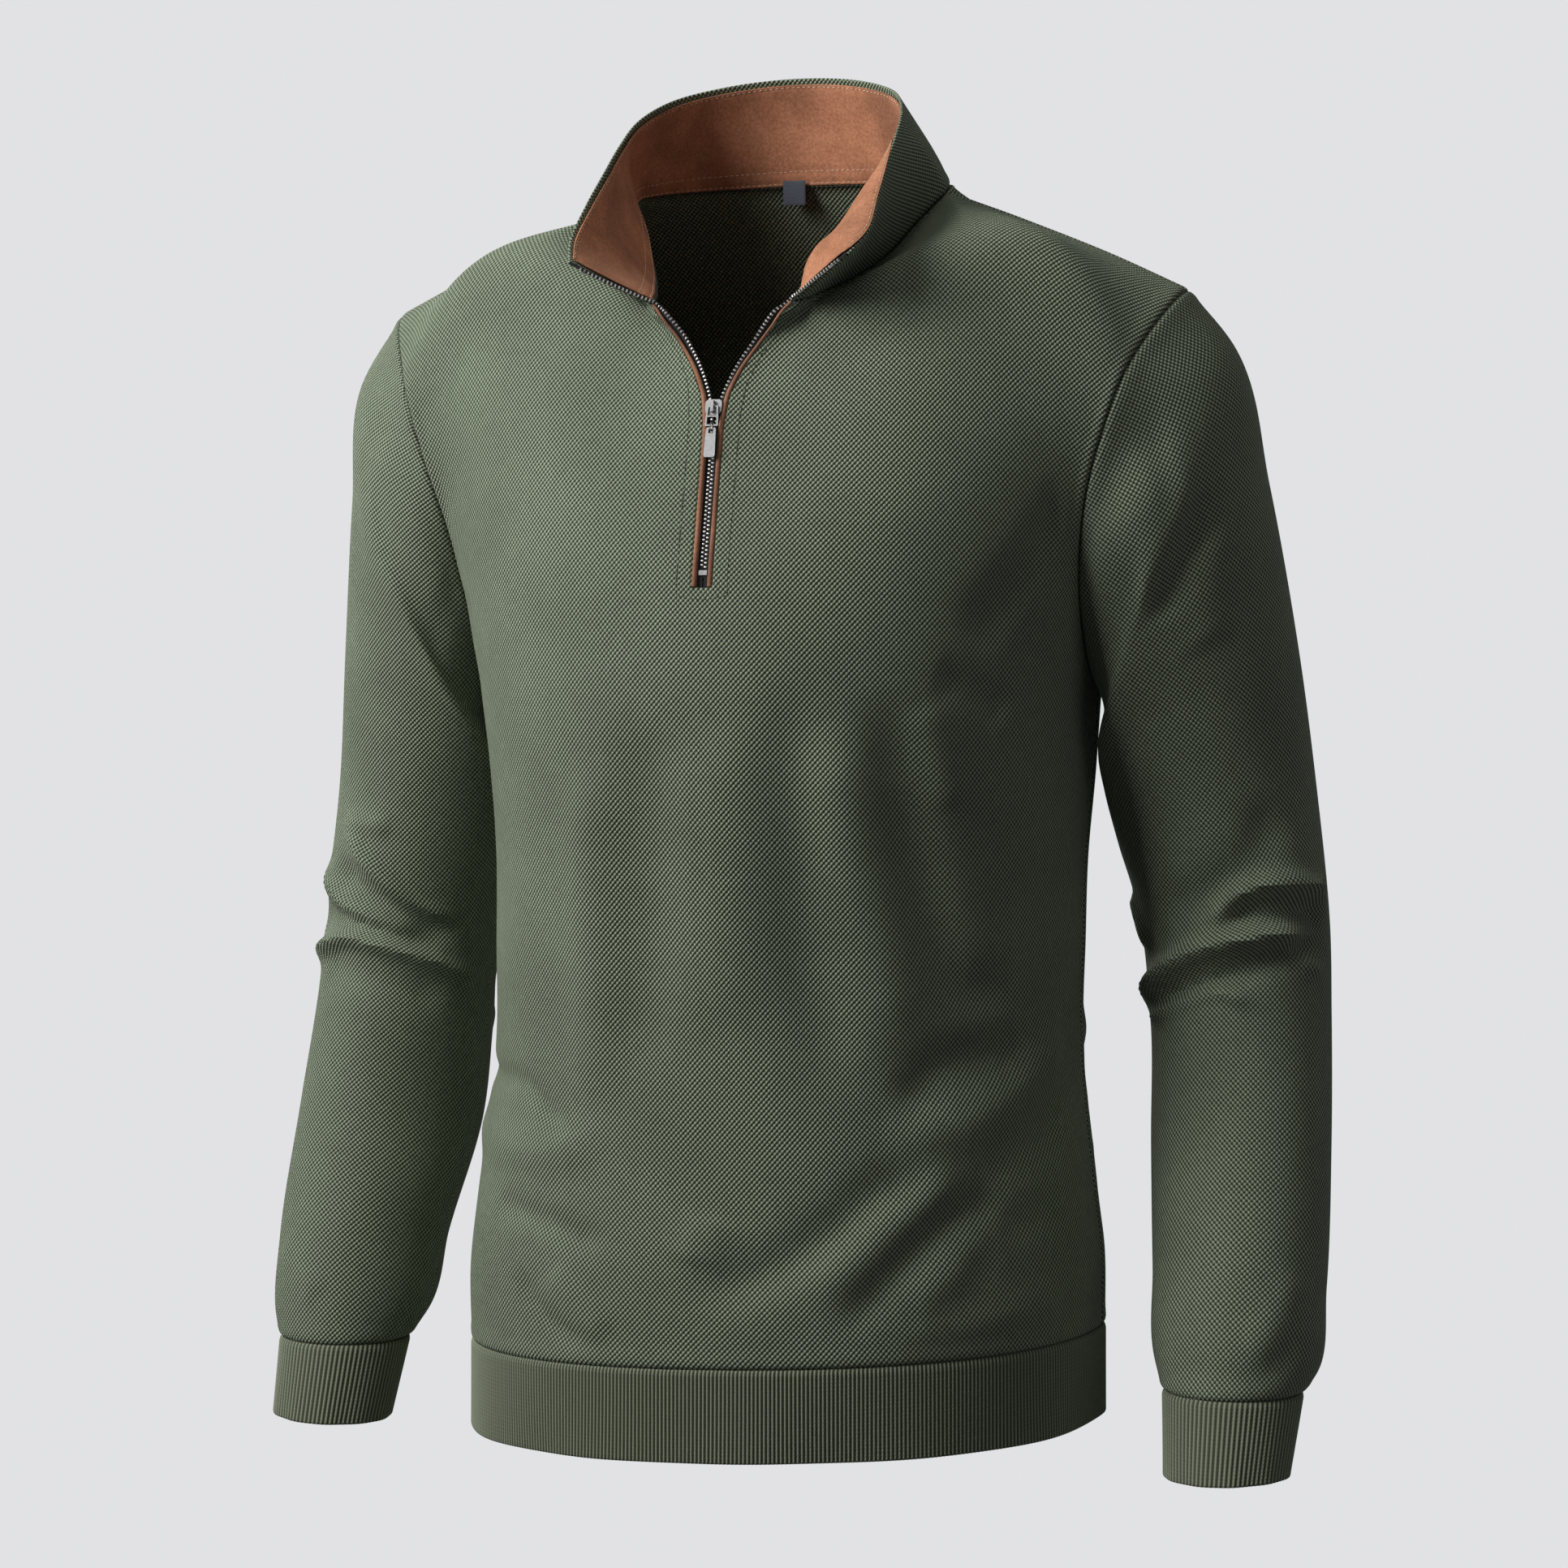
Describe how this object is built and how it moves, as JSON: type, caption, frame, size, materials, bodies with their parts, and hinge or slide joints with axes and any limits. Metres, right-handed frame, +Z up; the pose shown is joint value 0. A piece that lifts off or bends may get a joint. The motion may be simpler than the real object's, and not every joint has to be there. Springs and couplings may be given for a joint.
{
  "type": "quarter zip sweater",
  "caption": "Knitted pullover sweater, hollow as worn, with a zip opening at an open stand collar, long set-in sleeves and ribbed cuffs and hem.",
  "frame": {"origin": "middle of the neck base, level with the neck points of the shoulder seams, where the wearer's shoulders carry the garment", "axes": "+Z up, the front faces -Y, +X to the wearer's left"},
  "size_m": [0.6196, 0.2535, 0.7735],
  "materials": {
    "knit": "fine bird's-eye knit in sage green, matt",
    "rib": "narrow ribbed knit in sage green, matt",
    "suede": "brown suede, matt",
    "tape": "black woven zip tape",
    "metal": "silver, satin",
    "label": "dark slate woven label, bare"
  },
  "bodies": {
    "sweater": {"front_panel": "knit", "back_panel": "knit", "sleeve_left": "knit", "sleeve_right": "knit", "cuff_left": "rib", "cuff_right": "rib", "hem_band": "rib", "collar_outer": "knit", "collar_facing": "suede", "piping_left": "suede", "piping_right": "suede", "zip_tape_left": "tape", "zip_tape_right": "tape", "zip_slider": "metal", "bottom_stop": "metal", "top_stop_left": "metal", "top_stop_right": "metal", "neck_label": "label"},
    "link": {"pull_link": "metal"},
    "tab": {"pull_ring": "metal", "pull_tab": "metal"}
  },
  "joints": [
    {"name": "link_swing", "type": "hinge", "parent": "sweater", "child": "link", "pos_m": [0, -0.1074, -0.1334], "axis": [-1, 0, 0], "range_deg": [0, 120]},
    {"name": "tab_swing", "type": "hinge", "parent": "link", "child": "tab", "pos_m": [0, -0.10968, -0.1436], "axis": [-1, 0, 0], "range_deg": [0, 80]}
  ]
}
